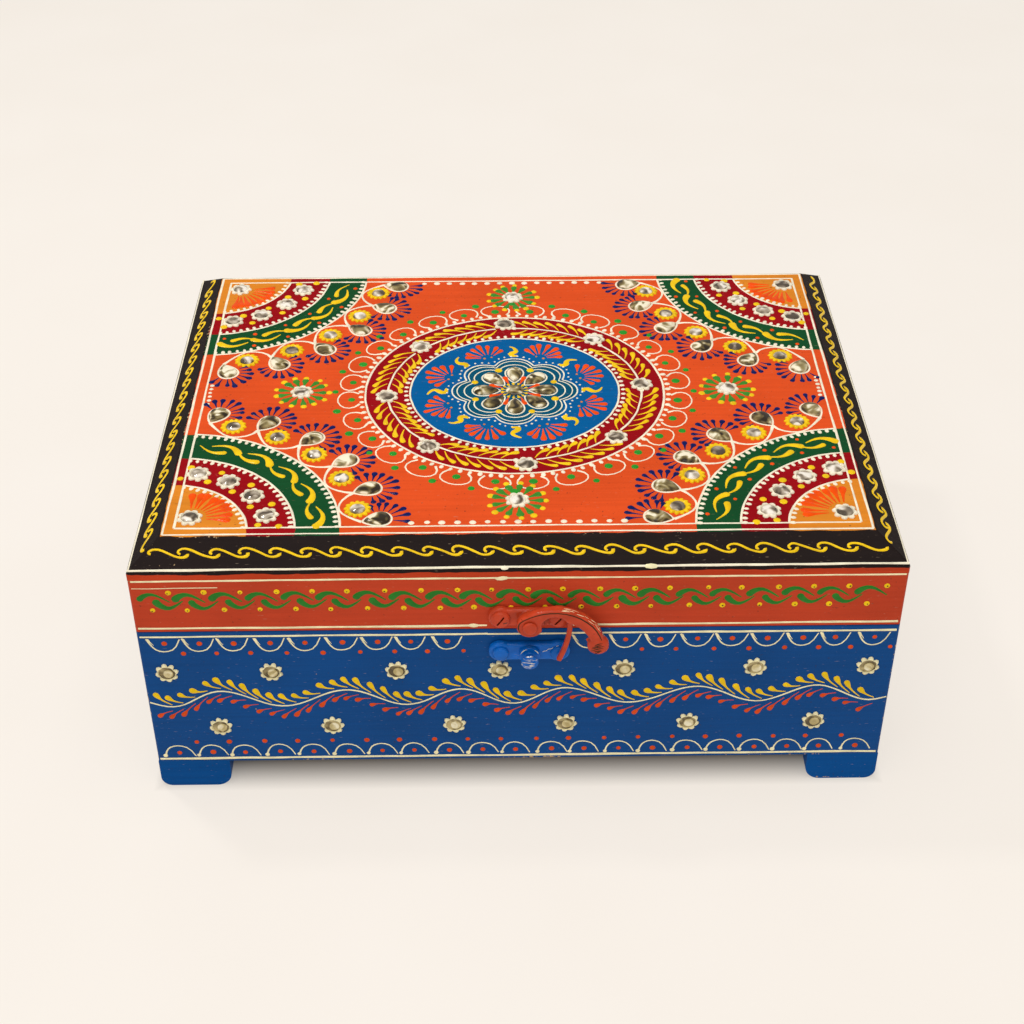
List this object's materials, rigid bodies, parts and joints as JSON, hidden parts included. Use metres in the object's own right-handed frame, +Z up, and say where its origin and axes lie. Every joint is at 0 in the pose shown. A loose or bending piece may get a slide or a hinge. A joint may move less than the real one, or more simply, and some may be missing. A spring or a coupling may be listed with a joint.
{
  "type": "keepsake chest",
  "caption": "Hand-painted wooden keepsake chest with a bevelled hinged lid, glass stones, block feet and a swing-hook latch.",
  "frame": {"origin": "on the floor under the middle of the case", "axes": "+X to the right seen from the front, +Y to the back where the hinges are, +Z up"},
  "size_m": [0.2556, 0.2028, 0.1055],
  "materials": {
    "lid_paint": "hand-painted vermilion on wood, satin",
    "rail_paint": "hand-painted brick red on wood, satin",
    "wall_paint": "hand-painted deep blue on wood, satin",
    "bare_wood": "plain light hardwood",
    "felt": "dark red felt",
    "red_metal": "cast metal painted over in red",
    "blue_metal": "cast metal painted over in blue",
    "pin_steel": "plain steel",
    "stone_glass": "foil-backed cut glass",
    "wall_glass": "pale glass chips"
  },
  "bodies": {
    "case": {"front_wall": "wall_paint", "back_wall": "wall_paint", "left_wall": "wall_paint", "right_wall": "wall_paint", "bottom_panel": "bare_wood", "front_left_foot": "wall_paint", "front_right_foot": "wall_paint", "back_left_foot": "wall_paint", "back_right_foot": "wall_paint", "floor_felt": "felt", "wall_brads": "pin_steel", "bottom_brads": "pin_steel", "foot_brads": "pin_steel", "catch_plate": "blue_metal", "catch_plate_screws": "blue_metal", "catch_stud": "blue_metal", "left_hinge_body_leaf": "blue_metal", "right_hinge_body_leaf": "blue_metal", "left_hinge_pin": "pin_steel", "right_hinge_pin": "pin_steel", "hinge_body_screws": "blue_metal", "front_wall_stones": "wall_glass", "left_wall_stones": "wall_glass", "right_wall_stones": "wall_glass"},
    "lid": {"lid_top_board": "lid_paint", "lid_front_rail": "rail_paint", "lid_back_rail": "rail_paint", "lid_left_rail": "rail_paint", "lid_right_rail": "rail_paint", "lid_corner_brads": "pin_steel", "lid_board_brads": "pin_steel", "left_hinge_lid_leaf": "red_metal", "right_hinge_lid_leaf": "red_metal", "hinge_lid_screws": "red_metal", "latch_plate": "red_metal", "latch_plate_screws": "red_metal", "latch_rivet": "red_metal", "lid_centre_stone": "stone_glass", "lid_mandala_pears": "stone_glass", "lid_wreath_stones": "stone_glass", "lid_daisy_stones": "stone_glass", "lid_corner_stones": "stone_glass", "lid_crimson_stones": "stone_glass", "lid_garland_stones": "stone_glass", "lid_garland_pears": "stone_glass"},
    "hook": {"latch_hook": "red_metal"}
  },
  "joints": [
    {"name": "lid_hinge", "type": "hinge", "parent": "case", "child": "lid", "pos_m": [0, 0.0975, 0.07215], "axis": [-1, 0, 0], "range_deg": [0, 180]},
    {"name": "hook_swing", "type": "hinge", "parent": "lid", "child": "hook", "pos_m": [0.0035, -0.1, 0.0783], "axis": [0, 1, 0], "range_deg": [-110, 31]}
  ]
}
